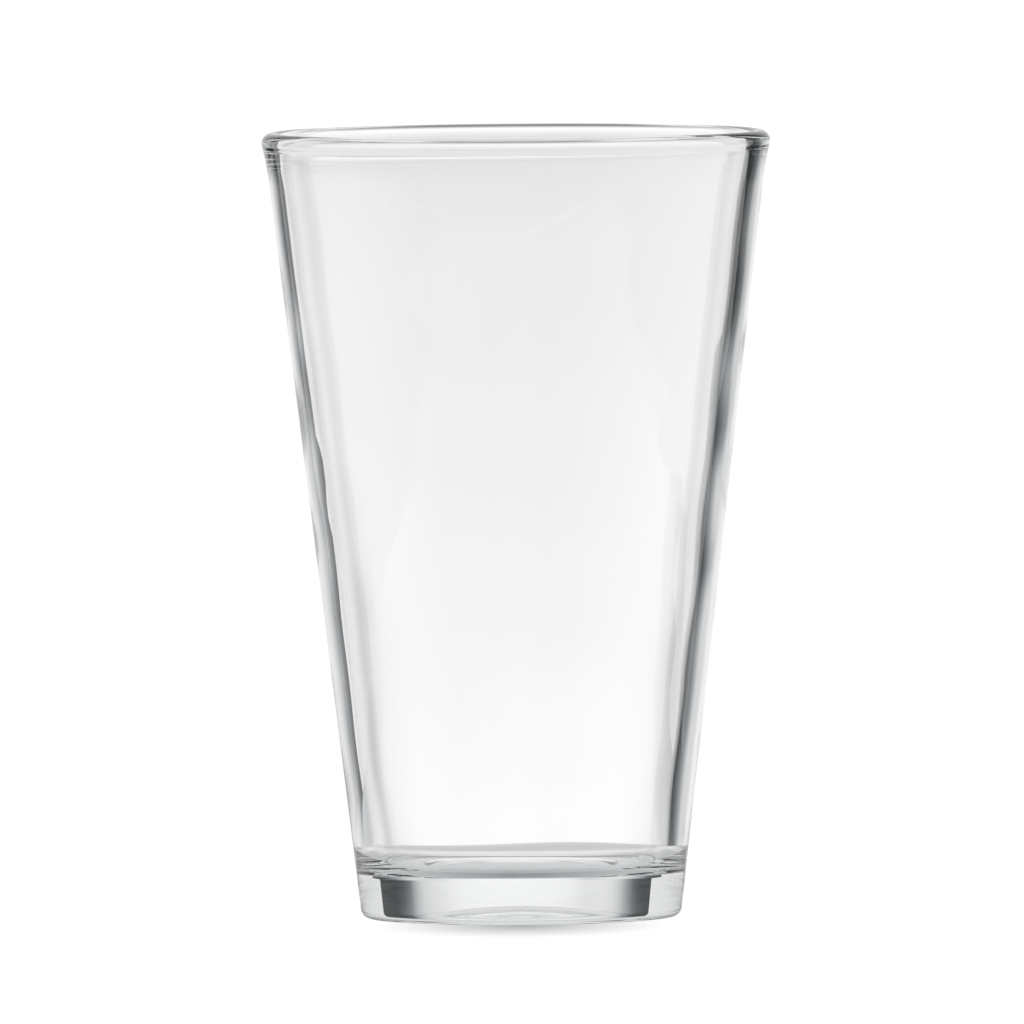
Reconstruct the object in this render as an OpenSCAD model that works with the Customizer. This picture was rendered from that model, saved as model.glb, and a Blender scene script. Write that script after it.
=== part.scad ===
// Conical pint glass: one piece of moulded soda-lime glass.
// The whole glass is a single outline turned about the Z axis. Going round it: a flat foot with a
// domed punt in the middle, a rounded heel, a straight tapered wall, a swollen fire-polished rim,
// the tapered inside wall, and an all but flat floor. Between floor and wall the inside turns in two
// steps: a wide shoulder that eases off the wall, then a tight corner that finishes on the floor.
// Z = 0 is the surface that the glass stands on, and the Z axis is the axis of the glass.

/* [Overall] */
// Height from the foot to the top of the rim
height = 139; // [115:1:165]
// Diameter over the rim, the widest place
rim_d = 90; // [84:0.5:96]
// Diameter that the outside taper reaches at the foot, before the heel is rounded off
base_d = 56.4; // [50:0.2:62]

/* [Rim] */
// Diameter of the round bead along the rim
bead_d = 3.7; // [3.2:0.1:4.4]
// How far the bead stands proud of the outside taper
bead_proud = 0.45; // [0.2:0.05:0.7]
// How far the bead stands proud of the inside taper
bead_inside = 0.15; // [0.05:0.05:0.5]
// Radius of the long hollow that leads from the outside wall out to the bead
outer_neck_r = 60; // [20:1:80]
// Radius of the short hollow that leads from the inside wall in to the bead
inner_neck_r = 2.5; // [1:0.5:12]

/* [Wall] */
// Thickness of the wall just above the floor, measured level; the bead sets it at the top
wall_low = 3.5; // [2.8:0.1:4.5]

/* [Floor] */
// Height of the middle of the floor above the foot
floor_h = 8; // [6:0.1:12]
// Radius of the very slight dish across the floor
floor_dish_r = 900; // [100:50:2000]
// Radius of the tight corner between the floor and the shoulder
corner_r = 3; // [1.5:0.5:6]
// Radius of the shoulder between that corner and the inside wall
shoulder_r = 12; // [8:0.5:20]
// How far the shoulder turns in from the inside wall, in degrees
shoulder_turn = 15.5; // [5:0.5:25]

/* [Foot] */
// Radius of the heel, where the wall turns in to the foot
heel_r = 1.7; // [1:0.1:3.5]
// Diameter of the punt, the domed hollow under the foot
punt_d = 35; // [24:0.5:40]
// Height of the punt above the foot
punt_h = 3.7; // [1.5:0.1:4.5]
// Radius of the rounded edge between the punt and the flat foot
punt_edge_r = 1.5; // [0.5:0.1:3]

/* [Hidden] */
turn_facets = 180;
degrees_per_facet = 6;

// Outside taper: the line through [base_r, 0] that the bead stands bead_proud outside of.
bead_r = bead_d / 2;
bead_centre = [rim_d / 2 - bead_r, height - bead_r];
base_r = base_d / 2;
taper = taper_angle(bead_centre - [base_r, 0], bead_r - bead_proud);
outer_foot = [base_r, 0];
outer_up = [sin(taper), cos(taper)];
outer_out = [cos(taper), -sin(taper)];

// Inside taper: the line from the low wall thickness that the bead stands bead_inside inside of.
low_level = floor_h + corner_r;
inner_low = [outer_at(low_level) - wall_low, low_level];
inner_taper = taper_angle(bead_centre - inner_low, bead_inside - bead_r);
inner_up = [sin(inner_taper), cos(inner_taper)];
inner_in = [-cos(inner_taper), sin(inner_taper)];

// Hollows beside the bead: each touches its wall's line and the bead.
outer_neck = neck_centre(outer_foot, outer_up, outer_out, outer_neck_r);
inner_neck = neck_centre(inner_low, inner_up, inner_in, inner_neck_r);

// Floor: the dish is centred on the axis. The shoulder touches the inside wall, the corner touches
// the shoulder where it has turned shoulder_turn, and the corner also touches the dish.
dish_centre = [0, floor_h + floor_dish_r];
wall_side = -inner_taper;
bent_side = wall_side - shoulder_turn;
shoulder_to_corner = (shoulder_r - corner_r) * [cos(bent_side), sin(bent_side)];
corner_centre = inside_dish(inner_low + shoulder_r * inner_in + shoulder_to_corner);
shoulder_centre = corner_centre - shoulder_to_corner;

// Foot: the heel touches the outside taper and the foot, and the punt is a cap of a sphere.
heel_centre = [base_r + heel_r * tan(taper) - heel_r / cos(taper), heel_r];
punt_r = punt_d / 2;
dome_r = (punt_r * punt_r + punt_h * punt_h) / (2 * punt_h);
dome_centre = [0, punt_h - dome_r];
edge_gap = dome_r + punt_edge_r;
edge_rise = punt_edge_r - dome_centre.y;
edge_centre = [sqrt(edge_gap * edge_gap - edge_rise * edge_rise), punt_edge_r];

// Angle of v from level, from -180 to 180 degrees.
function angle_of(v) = atan2(v.y, v.x);

// Lean of a line from the origin that passes a point at the given distance inside of it. A distance
// below zero puts the point outside of the line.
function taper_angle(point, inside) = asin(inside / norm(point)) + atan2(point.x, point.y);

// Radius of the outside taper at a level.
function outer_at(level) = base_r + level * tan(taper);

// Centre of a hollow of radius r that touches a wall's line, on its air side, and the bead above.
function neck_centre(start, up, air, r) =
    let(reach = bead_centre - start)
    let(side = r - reach * air)
    let(span = bead_r + r)
    start + r * air + (reach * up - sqrt(span * span - side * side)) * up;

// Centre of the floor corner: a point on the line from start along the wall, inside the dish.
function inside_dish(start) =
    let(offset = start - dish_centre)
    let(along = offset * inner_up)
    let(span = floor_dish_r - corner_r)
    start - (along + sqrt(along * along - offset * offset + span * span)) * inner_up;

// Points along an arc from angle a0 to angle a1.
function arc(centre, r, a0, a1) =
    let(steps = max(2, ceil(abs(a1 - a0) / degrees_per_facet)))
    [for (i = [0 : steps]) let(a = a0 + (a1 - a0) * i / steps) centre + r * [cos(a), sin(a)]];

function punt_outline() =
    concat(
        arc(dome_centre, dome_r, 90, angle_of(edge_centre - dome_centre)),
        arc(edge_centre, punt_edge_r, angle_of(dome_centre - edge_centre), -90)
    );

function heel_outline() = arc(heel_centre, heel_r, -90, -taper);

function rim_outline() =
    let(outer_touch = angle_of(outer_neck - bead_centre))
    let(inner_touch = (angle_of(inner_neck - bead_centre) + 360) % 360)
    concat(
        arc(outer_neck, outer_neck_r, 180 - taper, outer_touch + 180),
        arc(bead_centre, bead_r, outer_touch, 90),
        arc(bead_centre, bead_r, 90, inner_touch),
        arc(inner_neck, inner_neck_r, inner_touch - 180, wall_side)
    );

function floor_outline() =
    let(dish_side = angle_of(corner_centre - dish_centre))
    concat(
        arc(shoulder_centre, shoulder_r, wall_side, bent_side),
        arc(corner_centre, corner_r, bent_side, dish_side),
        arc(dish_centre, floor_dish_r, dish_side, -90)
    );

module pint_glass() {
    color([0.86, 0.9, 0.89, 0.35])
    rotate_extrude($fn = turn_facets)
    polygon(concat(punt_outline(), heel_outline(), rim_outline(), floor_outline()));
}

pint_glass();
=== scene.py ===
"""A clear conical pint glass, one piece of moulded glass, in a plain white studio."""

import math

import bpy
from mathutils import Matrix, Vector


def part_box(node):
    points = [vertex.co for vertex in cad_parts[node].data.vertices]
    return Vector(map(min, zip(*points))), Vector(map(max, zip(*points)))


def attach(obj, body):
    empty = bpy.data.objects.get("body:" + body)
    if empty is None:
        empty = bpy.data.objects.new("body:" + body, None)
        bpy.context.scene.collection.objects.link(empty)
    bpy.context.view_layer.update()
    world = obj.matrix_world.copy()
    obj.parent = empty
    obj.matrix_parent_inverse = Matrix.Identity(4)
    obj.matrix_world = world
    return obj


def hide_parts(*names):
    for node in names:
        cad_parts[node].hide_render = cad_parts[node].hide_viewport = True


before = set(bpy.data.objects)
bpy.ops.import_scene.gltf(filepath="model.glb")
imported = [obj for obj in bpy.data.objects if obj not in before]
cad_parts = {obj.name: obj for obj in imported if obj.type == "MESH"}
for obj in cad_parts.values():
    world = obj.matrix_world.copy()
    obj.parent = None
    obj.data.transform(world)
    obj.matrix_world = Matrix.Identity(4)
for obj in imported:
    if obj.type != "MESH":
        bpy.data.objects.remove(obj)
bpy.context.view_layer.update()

MM = 0.001

# The glass, in millimetres and degrees, under the names that the CAD source has for the same sizes.
# Height and rim come from the CAD model. The rim is a hair smaller, so that it stays in the CAD box.
RIM_MARGIN = 0.02
low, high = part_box("pint_glass")
HEIGHT = (high.z - low.z) / MM
RIM_R = min(high.x - low.x, high.y - low.y) / 2 / MM - RIM_MARGIN
BASE_R = 28.2
BEAD_R = 1.85
BEAD_PROUD = 0.45
BEAD_INSIDE = 0.15
OUTER_NECK_R = 60.0
INNER_NECK_R = 2.5
WALL_LOW = 3.5
FLOOR_H = 8.0
FLOOR_DISH_R = 900.0
CORNER_R = 3.0
SHOULDER_R = 12.0
SHOULDER_TURN = 15.5
HEEL_R = 1.7
PUNT_R = 17.5
PUNT_H = 3.7
PUNT_EDGE_R = 1.5

# A moulded cavity is never exact. This one sits off the axis, so one side of the wall is thicker, and
# the wall swells inward over a stretch of its height, by up to BULGE in the middle of that stretch.
CAVITY_SHIFT = -0.18
BULGE = 0.28
BULGE_FOOT = 12.0
BULGE_HEIGHT = 112.0
# Depth below the rim over which the unevenness comes in
EVEN_RIM = 6.0
# Radius within which waves and swelling fade out toward the middle of the floor
STILL_R = 4.0

# The mesh: faces round the glass, and the length of the faces along the foot and along the walls
SEGMENTS = 256
FOOT_STEP = 1.2
WALL_STEP = 2.0

# Clear glass. Per metre it absorbs what its tint lacks of white, times ABSORPTION.
REFRACTION = 1.52
GLASS_TINT = (0.65, 0.70, 0.69, 1)
ABSORPTION = 4.5

# The table round the glass and the soft shadow on it, in mm
TABLE_R = 110.0
TABLE_EDGES = 128
SHADOW_AHEAD = 28.0
SHADOW_WIDTH = 29.0
SHADOW_DEPTH = 42.0

# The studio, in mm. The backdrop and the low floor in front of it meet at BACKDROP_Y.
BACKDROP_Y = 400.0
LOW_FLOOR_Z = -160.0
# The table lies just under the foot, and the part that only the glass sees just under the table
TABLE_Z = -0.02
FAR_TABLE_Z = -0.1

# Brightness of the table and of all beyond it, as the camera sees them
WHITE = 1.05
# Light colours: places dimmer than NEUTRAL_FROM are a little cooler
COOL = (0.90, 0.99, 1.06, 1)
NEUTRAL = (1, 1, 1, 1)
NEUTRAL_FROM = 0.8

# The camera, in mm and degrees: it looks along Y from far away, a little down, and leans a little.
# VIEW_WIDTH is how much the picture takes in at the glass.
CAMERA_DISTANCE = 5600.0
CAMERA_Z = 316.0
AIM_Z = 71.65
CAMERA_X = -1.15
CAMERA_ROLL = 0.42
VIEW_WIDTH = 181.0432
SENSOR_WIDTH = 36.0


def arc(centre, radius, start, stop, steps):
    """Points along an arc in the r-z plane, in degrees."""
    turn = [math.radians(start + (stop - start) * i / steps) for i in range(steps + 1)]
    return [centre + radius * Vector((math.cos(a), math.sin(a))) for a in turn]


def line(start, stop, step):
    """Points inside a straight stretch, closer together near its ends."""
    count = max(4, round((stop - start).length / step))
    shares = [(1 - math.cos(math.pi * i / count)) / 2 for i in range(1, count)]
    return [start.lerp(stop, s) for s in shares]


def angle(v):
    """Angle of v from level, in degrees."""
    return math.degrees(math.atan2(v.y, v.x))


def neck(start, up, air, radius, bead):
    """Centre of a hollow that touches a wall's line, on its air side, and the bead above."""
    reach = bead - start
    side = radius - reach.dot(air)
    span = BEAD_R + radius
    return start + radius * air + (reach.dot(up) - math.sqrt(span**2 - side**2)) * up


def outline():
    """The glass's section, from the middle of the punt round to the middle of the floor."""
    # Outside wall: a line from the foot that the bead stands proud of
    bead = Vector((RIM_R - BEAD_R, HEIGHT - BEAD_R))
    foot = Vector((BASE_R, 0.0))
    reach = bead - foot
    taper = math.asin((BEAD_R - BEAD_PROUD) / reach.length) + math.atan2(reach.x, reach.y)
    up = Vector((math.sin(taper), math.cos(taper)))
    out = Vector((up.y, -up.x))

    # Inside wall: a line from the low wall thickness up to the bead
    low_level = FLOOR_H + CORNER_R
    inner_low = Vector((BASE_R + low_level * math.tan(taper) - WALL_LOW, low_level))
    inner_reach = bead - inner_low
    side = (BEAD_R - BEAD_INSIDE) / inner_reach.length
    inner_taper = math.atan2(inner_reach.x, inner_reach.y) - math.asin(side)
    inner_up = Vector((math.sin(inner_taper), math.cos(inner_taper)))
    inward = Vector((-inner_up.y, inner_up.x))

    outer_neck = neck(foot, up, out, OUTER_NECK_R, bead)
    inner_neck = neck(inner_low, inner_up, inward, INNER_NECK_R, bead)

    # Floor: the shoulder turns in from the wall, and the corner touches both it and the dish
    dish = Vector((0.0, FLOOR_H + FLOOR_DISH_R))
    wall_side = angle(-inward)
    bent_side = wall_side - SHOULDER_TURN
    bent = math.radians(bent_side)
    bent = Vector((math.cos(bent), math.sin(bent)))
    start = inner_low + SHOULDER_R * inward + (SHOULDER_R - CORNER_R) * bent
    offset = start - dish
    along = offset.dot(inner_up)
    span = FLOOR_DISH_R - CORNER_R
    corner = start - (along + math.sqrt(along**2 - offset.length_squared + span**2)) * inner_up
    shoulder = corner - (SHOULDER_R - CORNER_R) * bent

    # Foot: the heel touches the outside wall and the foot, and the punt is a cap of a sphere
    heel = Vector((BASE_R + HEEL_R * math.tan(taper) - HEEL_R / math.cos(taper), HEEL_R))
    dome_r = (PUNT_R**2 + PUNT_H**2) / (2 * PUNT_H)
    dome = Vector((0.0, PUNT_H - dome_r))
    edge_r = math.sqrt((dome_r + PUNT_EDGE_R) ** 2 - (PUNT_EDGE_R - dome.y) ** 2)
    edge = Vector((edge_r, PUNT_EDGE_R))

    # An arc that goes on from another leaves out the point that they share
    lean = math.degrees(taper)
    outer_touch = angle(outer_neck - bead)
    inner_touch = angle(inner_neck - bead) % 360
    dish_side = angle(corner - dish)
    punt = arc(dome, dome_r, 90, angle(edge - dome), 16)
    punt += arc(edge, PUNT_EDGE_R, angle(dome - edge), -90, 8)[1:]
    heel_arc = arc(heel, HEEL_R, -90, -lean, 18)
    rim = arc(outer_neck, OUTER_NECK_R, 180 - lean, outer_touch + 180, 14)
    rim += arc(bead, BEAD_R, outer_touch, 90, 20)[1:]
    rim += arc(bead, BEAD_R, 90, inner_touch, 20)[1:]
    rim += arc(inner_neck, INNER_NECK_R, inner_touch - 180, wall_side, 10)[1:]
    floor = arc(shoulder, SHOULDER_R, wall_side, bent_side, 10)
    floor += arc(corner, CORNER_R, bent_side, dish_side, 20)[1:]
    floor += arc(dish, FLOOR_DISH_R, dish_side, -90, 16)[1:]
    points = punt + line(punt[-1], heel_arc[0], FOOT_STEP) + heel_arc
    points += line(heel_arc[-1], rim[0], WALL_STEP) + rim
    points += line(rim[-1], floor[0], WALL_STEP) + floor
    return points


def waves(level, turn):
    """How far the cavity wall waves outward, in mm, at a level in mm and a turn in radians."""
    # Each has its height in mm; it repeats up the wall every 2 pi times its divisor, in mm
    sway = 0.05 * math.sin(level / 7.5 + 1.1) * math.cos(turn - 0.5)
    spiral = 0.04 * math.sin(level / 4.1 - 2 * turn)
    steep_spiral = 0.03 * math.cos(3 * turn + level / 11)
    patches = 0.03 * math.sin(level / 3.4 + 0.6) * math.sin(4 * turn)
    return sway + spiral + steep_spiral + patches


def uneven(p, turn, inside):
    """Where a point of the section ends up in mm, with the cavity's unevenness by the share inside."""
    x, y = p.x * math.cos(turn), p.x * math.sin(turn)
    if inside == 0:
        return x, y, p.y
    up_bulge = min(max((p.y - BULGE_FOOT) / BULGE_HEIGHT, 0.0), 1.0)
    outward = waves(p.y, turn) - BULGE * math.sin(math.pi * up_bulge)
    swell = inside * outward / max(p.x, STILL_R)
    return x * (1 + swell) + inside * CAVITY_SHIFT, y * (1 + swell), p.y


def lathe(name, points, segments):
    """A closed smooth mesh of revolution: a ring for each point, or a pole for one on the axis."""
    verts, faces, rings = [], [], []
    top = max(range(len(points)), key=lambda i: points[i].y)
    for place, p in enumerate(points):
        # The points after the top of the rim are the cavity's
        inside = 0.0 if place <= top else min(1.0, (HEIGHT - p.y) / EVEN_RIM)
        on_axis = p.x < 1e-6
        count = 1 if on_axis else segments
        rings.append(list(range(len(verts), len(verts) + count)))
        for i in range(count):
            verts.append(Vector(uneven(p, 2 * math.pi * i / segments, inside)) * MM)
    for a, b in zip(rings, rings[1:]):
        for i in range(segments):
            j = (i + 1) % segments
            if len(a) == 1:
                faces.append((a[0], b[j], b[i]))
            elif len(b) == 1:
                faces.append((a[i], a[j], b[0]))
            else:
                faces.append((a[i], a[j], b[j], b[i]))
    mesh = bpy.data.meshes.new(name)
    mesh.from_pydata(verts, [], faces)
    mesh.validate()
    mesh.shade_smooth()
    piece = bpy.data.objects.new(name, mesh)
    bpy.context.scene.collection.objects.link(piece)
    return piece


def glass_material():
    """Polished clear glass, slightly tinted all through."""
    mat = bpy.data.materials.new("clear_glass")
    mat.use_nodes = True
    nt = mat.node_tree
    p = nt.nodes["Principled BSDF"]
    p.inputs["Base Color"].default_value = (1, 1, 1, 1)
    p.inputs["Roughness"].default_value = 0.0
    p.inputs["IOR"].default_value = REFRACTION
    p.inputs["Transmission Weight"].default_value = 1.0
    absorb = nt.nodes.new("ShaderNodeVolumeAbsorption")
    absorb.inputs["Color"].default_value = GLASS_TINT
    absorb.inputs["Density"].default_value = ABSORPTION
    nt.links.new(absorb.outputs[0], nt.nodes["Material Output"].inputs["Volume"])
    return mat


class Dial:
    """A value in a node tree that can be added to, scaled, eased and blended."""

    def __init__(self, tree, socket):
        self.tree = tree
        self.socket = socket

    def _math(self, operation, other=None):
        n = self.tree.nodes.new("ShaderNodeMath")
        n.operation = operation
        self.tree.links.new(self.socket, n.inputs[0])
        if isinstance(other, Dial):
            self.tree.links.new(other.socket, n.inputs[1])
        elif other is not None:
            n.inputs[1].default_value = other
        return Dial(self.tree, n.outputs[0])

    def __add__(self, other):
        return self._math("ADD", other)

    def __mul__(self, other):
        return self._math("MULTIPLY", other)

    def size(self):
        """The value without its sign."""
        return self._math("ABSOLUTE")

    def root(self):
        """The square root."""
        return self._math("SQRT")

    def arcsine(self):
        """The angle that has this sine, in degrees."""
        return self._math("ARCSINE") * math.degrees(1)

    def ease(self, start, stop):
        """0 at start, 1 at stop, smooth between; start may be above stop."""
        n = self.tree.nodes.new("ShaderNodeMapRange")
        n.interpolation_type = "SMOOTHSTEP"
        self.tree.links.new(self.socket, n.inputs["Value"])
        n.inputs["From Min"].default_value = start
        n.inputs["From Max"].default_value = stop
        return Dial(self.tree, n.outputs["Result"])

    def ramp(self, stops):
        """Straight stretches between the given places and values."""
        first, last = stops[0][0], stops[-1][0]
        share = (self + -first) * (1 / (last - first))
        n = self.tree.nodes.new("ShaderNodeValToRGB")
        self.tree.links.new(share.socket, n.inputs[0])
        for place, value in stops[1:-1]:
            n.color_ramp.elements.new((place - first) / (last - first))
        for e, (place, value) in zip(n.color_ramp.elements, stops):
            e.position = (place - first) / (last - first)
            e.color = (value, value, value, 1)
        return Dial(self.tree, n.outputs["Color"])

    def toward(self, target, share):
        """This value, moved to the target by the share."""
        n = self.tree.nodes.new("ShaderNodeMix")
        self.tree.links.new(share.socket, n.inputs["Factor"])
        self.tree.links.new(self.socket, n.inputs["A"])
        if isinstance(target, Dial):
            self.tree.links.new(target.socket, n.inputs["B"])
        else:
            n.inputs["B"].default_value = target
        return Dial(self.tree, n.outputs["Result"])


def plain_world():
    """A dim room with a bright ceiling; the camera itself sees plain white."""
    world = bpy.data.worlds.new("studio")
    bpy.context.scene.world = world
    world.use_nodes = True
    tree = world.node_tree
    tree.nodes.clear()
    coord = tree.nodes.new("ShaderNodeTexCoord")
    split = tree.nodes.new("ShaderNodeSeparateXYZ")
    tree.links.new(coord.outputs["Generated"], split.inputs[0])
    # Brightness by the angle above level
    light = Dial(tree, split.outputs["Z"]).arcsine().ramp([
        (-90, 0.9), (-30, 0.7), (-12, 0.4), (0, 0.2), (15, 0.25), (40, 0.6), (60, 1.1), (90, 1.2),
    ])
    path = tree.nodes.new("ShaderNodeLightPath")
    light = light.toward(WHITE, Dial(tree, path.outputs["Is Camera Ray"]))
    shade = tree.nodes.new("ShaderNodeBackground")
    tree.links.new(light.socket, shade.inputs["Color"])
    out = tree.nodes.new("ShaderNodeOutputWorld")
    tree.links.new(shade.outputs[0], out.inputs["Surface"])


def light_material(name, glow, seen):
    """A glow without shading; glow and seen take the place's x, y and z in mm."""
    mat = bpy.data.materials.new(name)
    mat.use_nodes = True
    mat.cycles.emission_sampling = "NONE"
    tree = mat.node_tree
    tree.nodes.clear()
    coord = tree.nodes.new("ShaderNodeTexCoord")
    split = tree.nodes.new("ShaderNodeSeparateXYZ")
    tree.links.new(coord.outputs["Object"], split.inputs[0])
    shade = tree.nodes.new("ShaderNodeEmission")
    place = [Dial(tree, split.outputs[axis]) * (1 / MM) for axis in "XYZ"]
    strength = glow(*place)
    if seen:
        path = tree.nodes.new("ShaderNodeLightPath")
        strength = strength.toward(seen(*place), Dial(tree, path.outputs["Is Camera Ray"]))
    tree.links.new(strength.socket, shade.inputs["Strength"])
    tint = tree.nodes.new("ShaderNodeMix")
    tint.data_type = "RGBA"
    tree.links.new(strength.ease(0.0, NEUTRAL_FROM).socket, tint.inputs["Factor"])
    tint.inputs["A"].default_value = COOL
    tint.inputs["B"].default_value = NEUTRAL
    tree.links.new(tint.outputs["Result"], shade.inputs["Color"])
    out = tree.nodes.new("ShaderNodeOutputMaterial")
    tree.links.new(shade.outputs[0], out.inputs["Surface"])
    return mat


def light_piece(name, corners, glow, seen=None):
    """One glowing face, corners in mm. The camera sees it by the glow that seen gives, or not at all."""
    mesh = bpy.data.meshes.new(name)
    mesh.from_pydata([Vector(c) * MM for c in corners], [], [tuple(range(len(corners)))])
    piece = bpy.data.objects.new(name, mesh)
    bpy.context.scene.collection.objects.link(piece)
    mesh.materials.append(light_material(name, glow, seen))
    piece.visible_camera = seen is not None


def upright_panel(name, start, stop, heights, glow):
    """An upright light panel between two points of the plan."""
    (ax, ay), (bx, by), (bottom, top) = start, stop, heights
    light_piece(name, [(ax, ay, bottom), (bx, by, bottom), (bx, by, top), (ax, ay, top)], glow)


def level_panel(name, near, far, height, glow):
    """A level light panel between two opposite corners of the plan."""
    (ax, ay), (bx, by) = near, far
    light_piece(name, [(ax, ay, height), (bx, ay, height), (bx, by, height), (ax, by, height)], glow)


def soft_box(name, back, back_low, front):
    """An upright panel beside the glass; low down its back edge stands further forward."""
    bottom, low_end, high_start, top = -300, 24, 36, 500
    edge = [(*back_low, bottom), (*front, bottom), (*front, top), (*back, top)]
    light_piece(name, edge + [(*back, high_start), (*back_low, low_end)], soft_box_glow)


def soft_box_glow(x, y, z):
    """Dimmer at the front."""
    return y.ease(-350, 260) * 0.48 + 0.38


def table_shadow(x, y, z):
    """Pale, with the glass's soft shadow; its stops are shares of the shadow's width and depth."""
    ahead = (y + SHADOW_AHEAD) * (1 / SHADOW_DEPTH)
    aside = x * (1 / SHADOW_WIDTH)
    away = (ahead * ahead + aside * aside).root()
    return away.ramp([
        (0, 0.46), (0.05, 0.48), (0.19, 0.55), (0.33, 0.66), (0.49, 0.76), (0.64, 0.86), (0.79, 0.95),
        (0.94, 1.03), (1.05, WHITE), (1.1, WHITE),
    ])


def table_glow(x, y, z):
    """The table as the glass sees it: dim under the glass, in a band behind it and toward the camera."""
    front = y.ramp([(-500, 0.45), (-200, 0.7), (-60, 1.0)])
    behind = y.ramp([
        (-30, 1.0), (-24, 0.5), (0, 0.5), (24, 0.55), (34, 0.75), (55, 0.74), (70, 0.6), (85, 0.52),
        (98, 0.56), (110, 0.66), (120, 1.0),
    ])
    band = behind.toward(1.0, x.size().ease(60, 110))
    # The two far corners, dimmer on the right
    corner = x.size().ease(75, 100) * y.ease(15, 50)
    return (table_shadow(x, y, z) * band * front).toward(x.ease(-50, 50) * -0.52 + 0.6, corner)


def backdrop_glow(x, y, z):
    """Bright in the middle; its dark sides start further out low down than they do higher up."""
    side_low = x.ramp([
        (-450, 0.03), (-345, 0.05), (-317, 0.1), (-295, 0.15), (-266, 0.4), (-230, 0.62), (-200, 0.74),
        (-165, 0.78), (-118, 0.75), (-98, 0.78), (-75, 0.87), (-45, 0.96), (0, 1.0), (50, 0.98), (85, 0.93),
        (110, 0.86), (135, 0.76), (160, 0.7), (232, 0.74), (268, 0.5), (300, 0.3), (335, 0.17), (370, 0.08),
        (410, 0.03), (620, 0.02),
    ])
    side_high = x.ramp([
        (-450, 0.03), (-307, 0.04), (-253, 0.05), (-233, 0.09), (-205, 0.3), (-185, 0.58), (-165, 0.76),
        (-145, 0.86), (-105, 0.96), (-75, 1.0), (99, 1.0), (125, 0.92), (160, 0.82), (184, 0.7), (210, 0.4),
        (230, 0.12), (250, 0.07), (304, 0.03), (620, 0.02),
    ])
    rise = z.ramp([
        (-450, 0.35), (-200, 0.38), (-128, 0.5), (-95, 0.7), (-35, 1.05), (0, 1.06), (36, 1.0), (63, 0.965),
        (93, 0.935), (139, 0.88), (176, 0.82), (260, 0.82), (350, 0.72), (500, 0.65),
    ])
    # A soft upright strip on the left, low down
    strip = x.ramp([(-140, 0.0), (-108, 0.2), (-78, 0.0)]) * z.ease(60, -20)
    return side_low.toward(side_high, z.ease(12, 58)) * rise * (strip * -1 + 1)


def low_floor_glow(x, y, z):
    """Dark in a strip straight behind the glass."""
    return x.size().ease(45, 95) * 0.65 + 0.25


def studio():
    """A bright backdrop, soft boxes with dark gaps behind them, and a floor that drops behind the table."""
    plain_world()
    upright_panel("backdrop", (-450, BACKDROP_Y), (620, BACKDROP_Y), (-450, 500), backdrop_glow)
    soft_box("soft_box_left", (-257, 320), (-263, 265), (-330, -350))
    soft_box("soft_box_right", (395, 368), (401, 300), (460, -350))
    level_panel("gap", (-450, TABLE_R), (520, BACKDROP_Y), LOW_FLOOR_Z, low_floor_glow)
    level_panel("far_table", (-300, -500), (400, TABLE_R), FAR_TABLE_Z, table_glow)


def table():
    """The pale table near the glass, the only part of the studio the camera sees."""
    turns = [2 * math.pi * i / TABLE_EDGES for i in range(TABLE_EDGES)]
    rim = [(TABLE_R * math.cos(turn), TABLE_R * math.sin(turn), TABLE_Z) for turn in turns]
    light_piece("table", rim, table_glow, table_shadow)


def camera():
    """A long lens, with the picture VIEW_WIDTH across at the glass."""
    data = bpy.data.cameras.new("camera")
    cam = bpy.data.objects.new("camera", data)
    bpy.context.scene.collection.objects.link(cam)
    bpy.context.scene.camera = cam
    eye = Vector((CAMERA_X, -CAMERA_DISTANCE, CAMERA_Z))
    aim = Vector((CAMERA_X, 0.0, AIM_Z))
    way = (aim - eye).normalized()
    turn = way.to_track_quat("-Z", "Y").to_matrix().to_4x4()
    roll = Matrix.Rotation(math.radians(-CAMERA_ROLL), 4, "Z")
    cam.matrix_world = Matrix.Translation(eye * MM) @ turn @ roll
    data.sensor_width = SENSOR_WIDTH
    data.lens = SENSOR_WIDTH * (aim - eye).length / VIEW_WIDTH
    data.clip_start = 0.1
    data.clip_end = 20.0


def render_settings():
    """Enough bounces for the many walls of clear glass in line, and no caustics."""
    scene = bpy.context.scene
    scene.view_settings.view_transform = "Standard"
    scene.cycles.max_bounces = 32
    scene.cycles.transmission_bounces = 32
    scene.cycles.glossy_bounces = 16
    scene.cycles.use_denoising = True
    scene.cycles.caustics_refractive = False
    scene.cycles.caustics_reflective = False


camera()
studio()
table()
glass = lathe("glass_body", outline(), SEGMENTS)
glass.data.materials.append(glass_material())
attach(glass, "root")
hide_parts("pint_glass")
render_settings()
